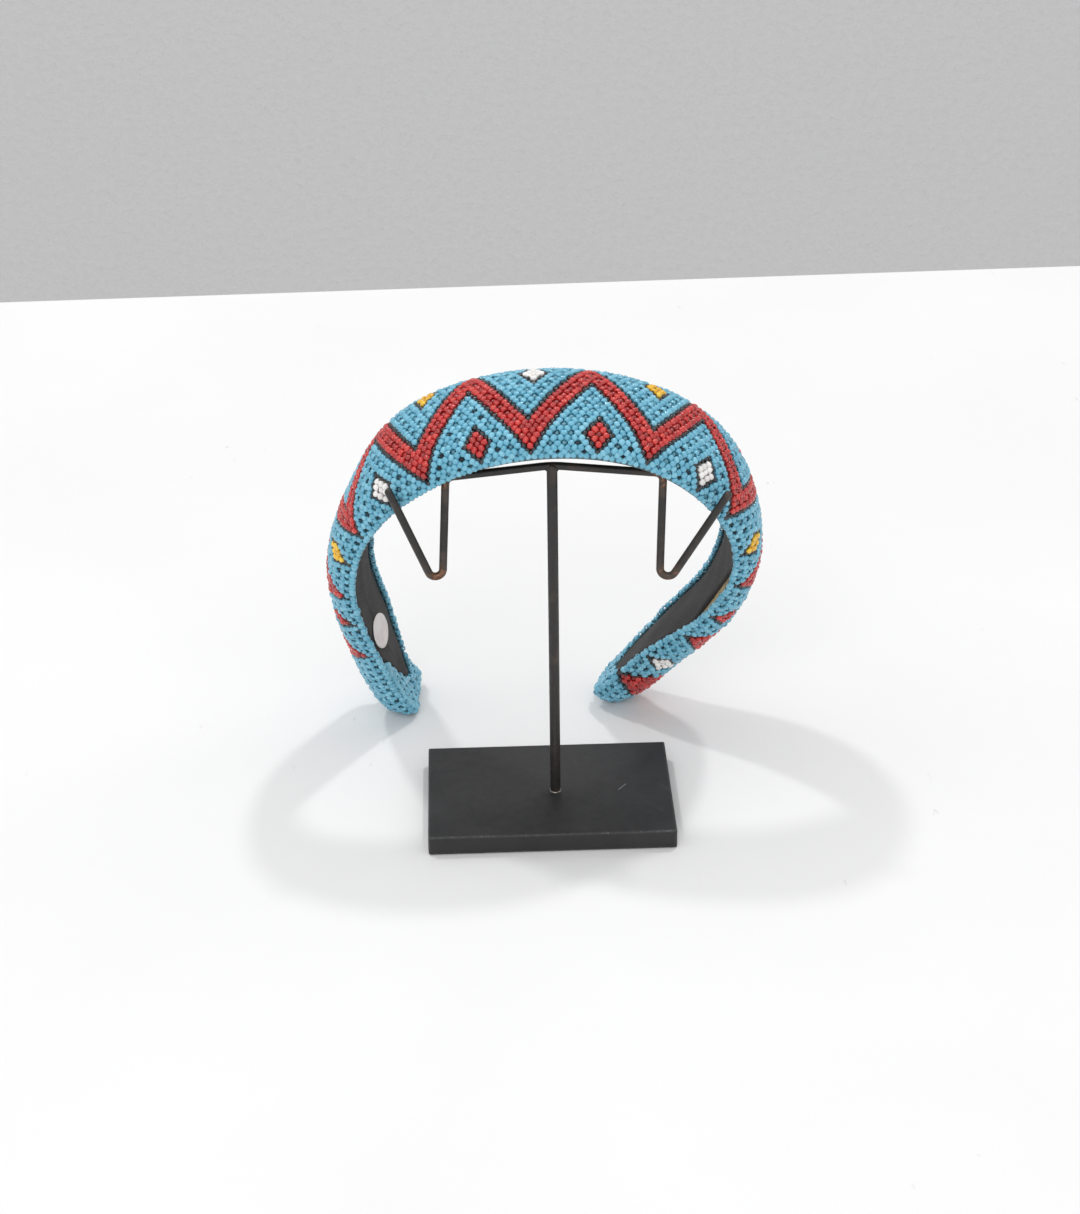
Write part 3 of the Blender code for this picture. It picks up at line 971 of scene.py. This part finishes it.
def lining_cloth(arch):
    """Charcoal cloth on the inside of the band, with a soft crease that follows the front rim."""
    look = Look("charcoal_cloth", roughness=0.95, sheen_weight=0.04)
    weave = woven(look, 1500.0)
    wear = look.ranged(look.noise(60.0, 4.0, 0.6), 0.35, 0.7)
    plain = look.mix(wear, (0.014, 0.013, 0.0135), (0.028, 0.025, 0.024))
    look.colour(look.mix(look.times(weave, 0.45), plain, (0.05, 0.046, 0.045)))
    look.bump(look.plus(weave, look.times(look.noise(350.0), 1.5)), 0.00012, 0.9)
    first, last = RIGHT_MOUTH + 0.5, arch.length - LEFT_MOUTH - 2.5
    distances = np.linspace(first, last, 221)
    shares = np.linspace(0, 1, 33)

    def section(distance, half, depth):
        wide = float(arch.window(distance, "front")) - 0.25
        slip = bulge(distance, *LINING_SLIP)
        bare = bulge(distance, *STRIP_BARE)
        back = bare - float(arch.window(distance, "back")) + 0.2
        a = (wide - slip) + (back - wide + slip) * shares
        leg = np.clip((distance - CREASE_START) / 25, 0, 1) * np.clip((last - 8 - distance) / 15, 0, 1)
        fold = wide * 0.42 + 0.6 * sin(distance / 17)
        valley = CREASE_DEPTH * swell(a, fold, 0.55)
        ridge = CREASE_RIDGE * swell(a, fold + 1.1, 0.7)
        waves = 0.09 * np.sin(distance / 3.1 + 0.3 * a) + 0.07 * np.sin(distance / 7.3 - 0.5 * a)
        edge = np.minimum(shares, 1 - shares) / 0.04
        tuck = 0.55 * np.clip(1 - edge, 0, 1) ** 1.5
        off_crown = float(np.clip(abs(distance - 165) / 60 - 1, 0, 1))
        sag = 0.25 - 0.3 * np.sin(pi * shares) * off_crown
        level = 0.02 + sag + waves * np.clip(edge, 0, 1) - leg * (ridge - valley) * 0.8 + tuck
        return np.stack((a, level), -1)

    grid = section_grid(arch, distances, section)
    steps = norm(np.diff(grid[:, len(shares) // 2], axis=0), axis=-1)
    along = np.concatenate(((0.0,), np.cumsum(steps)))
    uv = {}
    for n in range(len(distances)):
        half_width = norm(grid[n, -1] - grid[n, 0]) / 2
        for k, share in enumerate(shares):
            uv[n, k] = (along[n] * MM, half_width * (2 * share - 1) * MM)
    made = thickened(cloth_mesh("lining_cloth", grid, look.material, uv=uv), LINING_THICKNESS)
    return made, (widest(grid, 1) * MM, float(along[-1]) * MM), flat_area(grid)


def sticker(arch):
    """A blank oval paper sticker on the left leg's lining, one end starting to lift."""
    look = Look("worn_white_paper", roughness=0.62)
    fibres = look.noise(2600.0, 4.0, 0.7)
    stain = look.ranged(look.noise(170.0, 3.0), 0.45, 0.75)
    paper = look.mix(look.ranged(fibres), (0.72, 0.66, 0.66), (0.82, 0.78, 0.77))
    look.colour(look.mix(look.times(stain, 0.5), paper, (0.55, 0.44, 0.4)))
    look.bump(fibres, 0.00005, 0.6)
    tilt = radians(STICKER_TILT)
    grid = []
    for ring in np.linspace(0, 1, 9):
        row = []
        for turn in np.linspace(0, tau, 49):
            long = STICKER_LONG * ring * cos(turn)
            short = STICKER_SHORT * ring * sin(turn)
            along = long * cos(tilt) + short * sin(tilt)
            side = short * cos(tilt) - long * sin(tilt)
            place, across, out, _, _ = arch.one(arch.length - STICKER_FROM_TIP + along)
            lift = 0.5 * max(0.0, long / STICKER_LONG - 0.62) ** 1.5
            lift += 0.03 * sin(along * 1.3 + side)
            row.append(place + (STICKER_OFFSET + side) * across - (STICKER_DROP + lift) * out)
        grid.append(row)
    made = cloth_mesh("paper_sticker", np.array(grid), look.material, weld=True)
    return thickened(made, STICKER_THICKNESS)


def tan_look():
    """Tan strip under the lining, dark brown above a ragged line at about 70 mm height."""
    look = Look("tan_strip", roughness=0.7)
    fibres = look.noise(1.0, 4.0, 0.65, look.stretched((900.0, 900.0, 120.0)))
    light_fibres = look.ranged(fibres)
    ragged = look.plus(look.split(look.place)["Z"], look.times(look.noise(180.0), 0.012))
    plain = look.mix(light_fibres, (0.2, 0.145, 0.07), (0.4, 0.31, 0.17))
    brown = look.mix(light_fibres, (0.06, 0.03, 0.018), (0.15, 0.08, 0.045))
    look.colour(look.mix(look.ranged(ragged, 0.068, 0.074), plain, brown))
    look.bump(fibres, 0.00015, 0.7)
    return look.material


def stiff_strip(arch):
    """The tan strip that stiffens the band; it shows where the lining has slipped."""

    def section(distance, half, depth):
        wide = half - STRIP_INSET
        top = [(a, STRIP_HIGH) for a in (wide, 0.0, -wide)]
        return [(wide, STRIP_LOW), *top, (-wide, STRIP_LOW), (0.0, STRIP_LOW)]

    grid = section_grid(arch, inside_distances(arch), section)
    made = cloth_mesh("tan_strip", grid, tan_look(), closed=True)
    made.data.shade_flat()
    return made


def painted_wire():
    """Black paint worn through to coppery metal at the bends and ends."""
    look = Look("worn_black_paint", roughness=0.42)
    worn = look.attribute("wear")
    chips = look.noise(420.0, 5.0, 0.65)
    bare = look.ranged(look.plus(look.times(worn, 0.34), chips), 0.83, 0.9)
    rubbed = look.ranged(look.plus(look.times(worn, 0.3), look.noise(160.0)), 0.55, 0.8)
    black = look.mix(rubbed, (0.016, 0.014, 0.013), (0.06, 0.04, 0.03))
    copper = look.mix(look.ranged(look.noise(900.0)), (0.12, 0.06, 0.035), (0.3, 0.17, 0.11))
    look.colour(look.mix(bare, black, copper))
    look.set("Metallic", look.times(bare, 0.85))
    look.set("Roughness", look.ranged(look.noise(700.0, 3.0), 0.3, 0.7, 0.3, 0.52))
    look.bump(look.minus(look.noise(900.0, 2.0), look.times(bare, 0.8)), 0.00009)
    return look.material


def plate_paint():
    """Matt black plate: grained paint, rubbed edges, a few fine scratches and a short nick."""
    look = Look("matt_black_plate", roughness=0.5)
    own = look.split(look.place)
    lifted = look.minus(own["Z"], PLATE_HEIGHT / 2 * MM)
    sides = ((own["X"], PLATE_WIDTH), (own["Y"], PLATE_DEPTH), (lifted, PLATE_HEIGHT))
    x, y, z = (look.minus(look.size(place), side / 2 * MM) for place, side in sides)
    least = look.math("MINIMUM", look.math("MINIMUM", x, y), z)
    most = look.math("MAXIMUM", look.math("MAXIMUM", x, y), z)
    edge = look.minus(look.minus(look.plus(look.plus(x, y), z), least), most)
    near = look.ranged(edge, -0.0009, -0.0001)
    rubbed = look.ranged(look.plus(look.times(near, 0.34), look.noise(700.0, 5.0, 0.7)), 0.82, 1.0)
    mottle = look.ranged(look.noise(90.0, 4.0, 0.6), 0.35, 0.7)
    black = look.mix(mottle, (0.0125, 0.0125, 0.0135), (0.0185, 0.0185, 0.0195))
    black = look.mix(look.times(near, 0.5), black, (0.06, 0.06, 0.06))
    paint = look.mix(rubbed, black, (0.12, 0.115, 0.11))
    turn = {"Vector": look.place, "Rotation": (0.0, 0.0, 0.9)}
    turned = look.node("ShaderNodeMapping", turn).outputs["Vector"]
    hair = look.noise(1.0, 1.0, 0.4, look.stretched((110.0, 5200.0, 110.0), turned))
    sparse = look.ranged(look.noise(45.0, 2.0), 0.52, 0.62)
    scratches = look.math("MULTIPLY", look.ranged(hair, 0.7, 0.74), sparse, clamp=True)
    along_x = look.minus(own["X"], NICK_X * MM)
    along_y = look.minus(own["Y"], NICK_Y * MM)
    side = look.minus(look.times(along_x, NICK_RISE), look.times(along_y, NICK_RUN))
    run = look.plus(look.times(along_x, NICK_RUN), look.times(along_y, NICK_RISE))
    narrow = look.ranged(look.size(side), 0.0002, 0.00008)
    short = look.ranged(look.size(run), 0.0024, 0.0016)
    nick = look.times(look.times(narrow, short), 0.9)
    marks = look.math("MAXIMUM", look.times(scratches, 0.14), nick)
    look.colour(look.mix(marks, paint, (0.24, 0.23, 0.22)))
    look.set("Roughness", look.ranged(look.noise(300.0, 4.0), 0.3, 0.7, 0.43, 0.56))
    look.bump(look.minus(look.times(look.noise(1500.0, 2.0), 0.6), marks), 0.00006)
    return look.material


def straight(points, end, end_reach):
    """Adds points along a straight length of wire, each with its wear near the bends."""
    last = points[-1][0]
    length = (end - last).length
    pieces = max(1, round(length / WIRE_STEP))
    for i in range(1, pieces + 1):
        gone = length * i / pieces
        worn = max(0.0, 1 - gone / WEAR_REACH, 1 - (length - gone) / end_reach)
        points.append((last.lerp(end, i / pieces), worn))


def bent(corners):
    """The wire's centreline, with how far each point is worn: 1 in a tight bend."""
    points = [(Vector(corners[0][:2]), 1.0)]
    for before, corner, after in zip(corners, corners[1:], corners[2:]):
        here, radius = Vector(corner[:2]), corner[2]
        back = (Vector(before[:2]) - here).normalized()
        ahead = (Vector(after[:2]) - here).normalized()
        half = back.angle(ahead) / 2
        middle = here + (back + ahead).normalized() * radius / sin(half)
        start = here + back * radius / tan(half) - middle
        end = here + ahead * radius / tan(half) - middle
        sweep = start.angle_signed(end)
        steps = max(6, round(abs(sweep) / BEND_STEP), round(radius * abs(sweep) / WIRE_STEP))
        straight(points, middle + start, WEAR_REACH)
        points.pop()
        for i in range(steps + 1):
            turned = -sweep * i / steps
            cosine, sine = cos(turned), sin(turned)
            arm = Vector((start.x * cosine - start.y * sine, start.x * sine + start.y * cosine))
            points.append((middle + arm, 1.0 if radius < TIGHT_BEND else WIDE_BEND_WEAR))
    straight(points, Vector(corners[-1][:2]), LAST_WEAR_REACH)
    return points


def tube(bm, wear, line, radius, segments=20):
    """A round wire with domed ends along a line of (place, wear) in an upright plane."""
    path = [Vector(place) for place, _ in line]
    marks = [mark for _, mark in line]
    first, last = (path[0] - path[1]).normalized(), (path[-1] - path[-2]).normalized()
    ends = [(cos(t), sin(t)) for t in np.radians((12, 35, 58, 78))]
    rings = [(path[0] + first * radius * 0.9 * c, s, marks[0]) for c, s in ends]
    rings += [(place, 1.0, mark) for place, mark in zip(path, marks)]
    rings += [(path[-1] + last * radius * 0.9 * c, s, marks[-1]) for c, s in reversed(ends)]
    side = Vector((0, 1, 0))
    loops = []
    for n, (place, share, mark) in enumerate(rings):
        before, after = rings[max(0, n - 1)][0], rings[min(len(rings) - 1, n + 1)][0]
        ahead = (after - before).normalized()
        flat = (side - ahead * side.dot(ahead)).normalized()
        over = ahead.cross(flat)
        loop = []
        for k in range(segments):
            turn = tau * k / segments
            arm = (flat * cos(turn) + over * sin(turn)) * radius * share
            loop.append(bm.verts.new((place + arm) * MM))
            loop[-1][wear] = mark
        loops.append(loop)
    for one, two in zip(loops, loops[1:]):
        for k in range(segments):
            bm.faces.new((one[k], one[(k + 1) % segments], two[(k + 1) % segments], two[k]))
    for loop in (loops[0], loops[-1]):
        bm.faces.new(loop)


def bent_line(corners):
    """The bent wire's centreline in space: both arms come forward and are less worn at their ends."""
    flat = bent(corners)
    runs = [0.0]
    for (point, _), (after, _) in zip(flat, flat[1:]):
        runs.append(runs[-1] + (after - point).length)
    arms = [(Vector(a[:2]) - Vector(b[:2])).length for a, b in (corners[:2], corners[-2:])]
    line = []
    for (point, mark), run in zip(flat, runs):
        from_ends = (run, runs[-1] - run)
        shares = [1 - gone / arm for gone, arm in zip(from_ends, arms)]
        forward = ARM_FORWARD * sum((share + hypot(share, 0.08)) / 2 for share in shares)
        worn = mark * float(np.interp(min(from_ends), (4.0, 12.0), (0.3, 1.0)))
        line.append((Vector((point.x, STAND_Y - forward, point.y)), worn))
    return line


def stand_wire():
    """Rod in the plate and the bent wire soldered across its top."""
    bm = bmesh.new()
    wear = bm.verts.layers.float.new("wear")
    height = bar_height()
    corners = [(STAND_X + BAR_REACH * x, height * z, BAR_REACH * radius) for x, z, radius in WIRE_CORNERS]
    tube(bm, wear, bent_line(corners), WIRE_DIAMETER / 2)
    top = height + WIRE_DIAMETER / 5
    rod = []
    for z in np.linspace(ROD_FOOT, top - 1.4, 28):
        worn = max(0.0, 0.6 - (z - PLATE_HEIGHT) / 8, 0.9 - (top - z) / 9)
        rod.append((Vector((STAND_X, STAND_Y, z)), worn))
    tube(bm, wear, rod, ROD_DIAMETER / 2, segments=28)
    solder = bmesh.ops.create_uvsphere(bm, u_segments=24, v_segments=14, radius=1.0)
    for vert in solder["verts"]:
        x, y, z = vert.co
        lump = 1 + 0.06 * sin(5 * x + 3 * z) + 0.05 * sin(7 * y)
        stretched = Vector([part * reach * lump for part, reach in zip((x, y, z), SOLDER_REACH)])
        vert.co = (stretched + Vector((STAND_X, STAND_Y, height - SOLDER_DROP))) * MM
        vert[wear] = 0.3
    centre = Vector((STAND_X, STAND_Y, PLATE_HEIGHT)) * MM
    lean = Matrix.Rotation(-radians(STAND_LEAN), 3, "X")
    bmesh.ops.rotate(bm, verts=bm.verts, cent=centre, matrix=lean)
    return piece_from(bm, "stand_wire", painted_wire())


def foot_ring():
    """A thin ring of bare solder round the rod where it enters the plate."""
    look = Look("bare_solder", roughness=0.35, metallic=0.9)
    grey = look.mix(look.ranged(look.noise(900.0)), (0.08, 0.07, 0.06), (0.4, 0.38, 0.35))
    look.colour(grey)
    look.bump(look.noise(1800.0), 0.00008)
    bm = bmesh.new()
    turned_ring(bm, [(radius * MM, z * MM) for radius, z in FOOT_RING], (0, 0, 1), 40)
    bmesh.ops.translate(bm, verts=bm.verts, vec=Vector((STAND_X, STAND_Y, PLATE_HEIGHT)) * MM)
    return piece_from(bm, "foot_ring", look.material)


def hole_centres(first_row):
    """Distance, girth and colour of each hole of the net from a row on."""
    return [
        (float(bead_station(rim_count(i, j), j)), float(row_girth(j)), chart(i, j))
        for j in range(first_row, END_HOLE_ROW, 2)
        for i in range(-COLUMN_REACH, COLUMN_REACH, 2)
        if FIRST_BEAD < rim_count(i, j) < LAST_BEAD
    ]


def well_inside(arch, spots, tip_room, rim_room):
    """Which spots lie far enough from both tips and from the back rim."""
    distance, girth = spots[:, 0], spots[:, 1]
    inside = (distance > tip_room) & (distance < arch.length - tip_room)
    return inside & (girth < full_girth(arch, distance) - rim_room)


def core_beads(arch):
    """Beads of the lower layer, which fill most holes: place, axes, colour."""
    holes = hole_centres(2)
    spots = np.array([(distance, girth, 0.5, 1.0) for distance, girth, _ in holes])
    colours = np.array([colour for _, _, colour in holes])
    fits = well_inside(arch, spots, tip_room=7, rim_room=2.2)
    spots, colours = spots[fits], colours[fits]
    girth = spots[:, 1]
    places, axes = frames_at(arch, *spots.T)
    open_share = np.where(colours == "blue", np.interp(girth, *OPEN_HOLES), 0.0)
    filled = random.random(len(spots)) > open_share
    sink = np.where(colours == "blue", np.interp(girth, *BLUE_SINK), PATTERN_SINK)
    sink = sink + random.uniform(-SINK_SPREAD, SINK_SPREAD, len(spots))
    places = places - axes[:, :, 2] * sink[:, None]
    return places[filled], axes[filled], colours[filled]


def crowded(places, colours):
    """Places with the coloured beads leaning over the smaller black ones beside them."""
    black = places[colours == "black"]
    moved = places.copy()
    for n in np.flatnonzero(colours != "black"):
        away = black - places[n]
        gap = norm(away, axis=1)
        near = gap < CROWD_REACH
        if near.any():
            lean = (away[near] / gap[near, None]).sum(axis=0)
            moved[n] += CROWD_LEAN * lean / max(1.0, norm(lean))
    return moved


def hole_threads(arch):
    """Crossing threads seen in the net's holes."""
    ways = ((1.0, 0.0), (0.5, 1.0), (-0.5, 1.0))
    spots = np.array([(*hole[:2], *way) for hole in hole_centres(0) for way in ways])
    fits = well_inside(arch, spots, tip_room=8, rim_room=2.5) & (spots[:, 1] > 1)
    places, axes = frames_at(arch, *spots[fits].T)
    look = Look("black_thread", roughness=0.7)
    twist = look.noise(2500.0, 2.0)
    look.colour(look.mix(twist, (0.006, 0.008, 0.01), (0.03, 0.04, 0.05)))
    look.bump(twist, 0.00005)
    return many("net_threads", thread_shape(), places, axes, look.material)


def lamp(name, place, aim, size, watts):
    """A round soft lamp."""
    disk = bpy.data.lights.new(name, "AREA")
    disk.shape = "DISK"
    disk.size = size
    disk.energy = watts
    made = linked(name, disk)
    made.location = place
    made.rotation_mode = "QUATERNION"
    made.rotation_quaternion = (Vector(aim) - Vector(place)).to_track_quat("-Z", "Y")


def flat_face(name, material, corners):
    """A flat face of the room, kept out of the part."""
    mesh = bpy.data.meshes.new(name)
    mesh.from_pydata(corners, [], [range(len(corners))])
    mesh.materials.append(material)
    made = linked(name, mesh)
    return made


def table_look():
    """Pale table with faint scuffs and a few dots of dirt."""
    table = Look("pale_table", roughness=0.85)
    mottle = table.ranged(table.noise(6.0, 4.0), 0.35, 0.7)
    pale = table.mix(mottle, (0.8, 0.8, 0.8), (0.83, 0.83, 0.83))
    scuffs = table.ranged(table.noise(1.0, 3.0, 0.6, table.stretched((260.0, 60.0, 60.0))), 0.68, 0.76)
    patches = table.ranged(table.noise(14.0, 2.0), 0.55, 0.7)
    dots = table.ranged(table.specks(28.0), 0.028, 0.018)
    scuffs, dots = (table.math("MULTIPLY", mark, patches, clamp=True) for mark in (scuffs, dots))
    table.colour(table.mix(table.math("MAXIMUM", scuffs, dots), pale, (0.6, 0.6, 0.59)))
    return table.material


def wall_look():
    """Grey wall with a fine grain."""
    wall = Look("grey_wall", roughness=0.9)
    grain = wall.noise(90.0, 4.0, 0.6)
    wall.colour(wall.mix(grain, (0.56, 0.56, 0.565), (0.62, 0.62, 0.625)))
    wall.bump(grain, 0.004)
    return wall.material


def studio():
    """Pale table and grey wall, lamps at both back corners and a soft one in front."""
    flat_face("table_top", table_look(), TABLE_CORNERS).location.z = -TABLE_GAP
    flat_face("wall", wall_look(), WALL_CORNERS)
    world = bpy.data.worlds.new("bright_room")
    world.use_nodes = True
    background = world.node_tree.nodes["Background"].inputs
    background["Color"].default_value = (1.0, 1.0, 1.0, 1.0)
    background["Strength"].default_value = ROOM_LIGHT
    bpy.context.scene.world = world
    bpy.context.scene.view_settings.view_transform = "Standard"
    for values in LAMPS:
        lamp(*values)


def camera():
    """The camera, placed by its distance and shift and turned round the stand."""
    lens = bpy.data.cameras.new("camera")
    lens.lens = LENS
    lens.sensor_width = SENSOR_WIDTH
    lens.clip_start, lens.clip_end = 0.05, 20.0
    elevation, turn, roll = (radians(angle) for angle in (CAMERA_ELEVATION, CAMERA_TURN, CAMERA_ROLL))
    ahead = Vector((0, cos(elevation), -sin(elevation)))
    right = Vector((1, 0, 0))
    up = right.cross(ahead)
    place = -ahead * CAMERA_DISTANCE + right * CAMERA_RIGHT + up * CAMERA_UP
    level = right * cos(roll) + up * sin(roll)
    upright = -right * sin(roll) + up * cos(roll)
    swing = Matrix.Rotation(-turn, 3, "Z")
    axes = Matrix((swing @ level, swing @ upright, swing @ -ahead)).transposed()
    made = linked("camera", lens)
    made.matrix_world = Matrix.Translation(swing @ place * MM) @ axes.to_4x4()
    bpy.context.scene.camera = made


def set_in(piece, solid=None):
    """Hides the solid that a piece stands for, if one is given, and puts the piece in the root body."""
    if solid:
        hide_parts(solid)
    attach(piece, "root")


def upper_beads(arch, shape, glasses):
    """The net's own beads, a piece for each colour; the blue ones in three."""
    places, axes, colours = net_beads(arch)
    axes = tilted(axes, BEAD_TILT)
    low = np.clip((LEG_HEIGHT - places[:, 2]) / LEG_FADE, 0, 1)[:, None]
    scatter = random.normal(0, 1, places.shape) * (BEAD_SCATTER + LEG_SCATTER * low)
    places = crowded(places, colours) + scatter
    middle = arch.at([float(station(0.0))])[0][0][0]
    for colour, material in glasses.items():
        chosen = np.flatnonzero(colours == colour)
        groups = {"": chosen}
        if colour == "blue":
            leg = places[chosen, 2] < LEG_HEIGHT
            left = places[chosen, 0] < middle
            groups = {"_left": chosen[leg & left], "_right": chosen[leg & ~left], "_crown": chosen[~leg]}
        black = colour == "black"
        for ending, members in groups.items():
            lowered = places[members] - axes[members][:, :, 2] * (BLACK_BEAD_SINK if black else 0.0)
            size = BLACK_BEAD_SHARE if black else 1.0
            piece = many(f"{colour}_beads{ending}", shape, lowered, axes[members], material, size)
            set_in(piece, "bead_net")


def lower_beads(arch, shape, glasses):
    """The beads that fill the net's holes from below, a piece for each colour."""
    places, axes, colours = core_beads(arch)
    axes = tilted(axes, LOWER_BEAD_TILT)
    for colour, material in glasses.items():
        chosen = colours == colour
        lower = places[chosen], axes[chosen], material, LOWER_BEAD_SHARE
        piece = many(f"lower_{colour}_beads", shape, *lower)
        set_in(piece)


def main():
    arch = Arch()
    shape = bead_shape()
    glasses = {
        "blue": glass("blue_glass", (0.085, 0.34, 0.48), (0.13, 0.43, 0.585), (0.21, 0.53, 0.68)),
        "red": glass("red_glass", (0.3, 0.006, 0.008), (0.5, 0.014, 0.014), (0.62, 0.04, 0.03)),
        "black": glass("black_glass", (0.004, 0.004, 0.006), (0.008, 0.008, 0.012), (0.02, 0.022, 0.03)),
        "white": glass("white_glass", (0.72, 0.7, 0.68), (0.84, 0.82, 0.8), (0.9, 0.89, 0.87), 0.25),
        "yellow": glass("yellow_glass", (0.7, 0.36, 0.005), (0.86, 0.5, 0.01), (0.92, 0.6, 0.04)),
    }
    upper_beads(arch, shape, glasses)
    # Darker copies of the blue and red glass for the lower beads: painted shade for the holes they sit in
    glasses["blue"] = glass("painted_shade_blue_glass", (0.04, 0.18, 0.25), (0.065, 0.25, 0.34), (0.1, 0.32, 0.43))
    glasses["red"] = glass("painted_shade_red_glass", (0.2, 0.005, 0.007), (0.34, 0.01, 0.012), (0.45, 0.02, 0.02))
    lower_beads(arch, shape, glasses)
    set_in(hole_threads(arch))
    cloth, flat, area = backing_cloth(arch)
    set_in(cloth)
    pad = foam(arch)
    set_in(pad, "padding")
    lining, flat, area = lining_cloth(arch)
    set_in(lining, "lining")
    set_in(sticker(arch), "label_sticker")
    set_in(stand_wire(), "stand_frame")
    set_in(foot_ring())
    set_in(stiff_strip(arch), "hoop")
    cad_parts["base_plate"].material_slots[0].material = plate_paint()
    studio()
    camera()


main()
